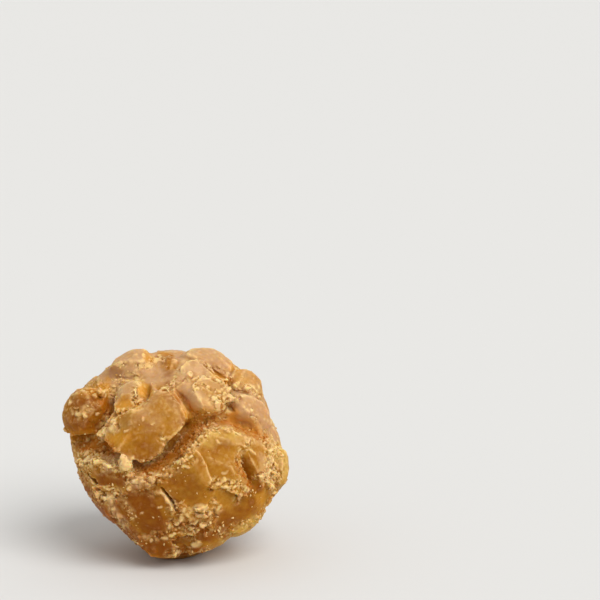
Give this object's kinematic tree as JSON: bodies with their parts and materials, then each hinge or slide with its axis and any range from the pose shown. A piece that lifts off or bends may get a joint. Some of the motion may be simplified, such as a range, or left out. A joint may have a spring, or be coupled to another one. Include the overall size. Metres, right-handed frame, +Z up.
{
  "type": "jaggery block",
  "caption": "Fist-sized, roughly round lump of hand-pressed jaggery with smooth pressed lobes and a crumbly broken face of flat plates, parted by deep cracks.",
  "frame": {"origin": "middle of the lump's bounding box, on the surface that it stands on", "axes": "+Z up, +X right along the longest side, -Y front, where the broken side faces, looking up a little"},
  "size_m": [0.0626, 0.0556, 0.0588],
  "materials": {
    "jaggery": "smooth waxy golden brown, dusty on top, with pale crumbs on its broken edges"
  },
  "bodies": {
    "root": {"jaggery_block": "jaggery"}
  },
  "joints": []
}
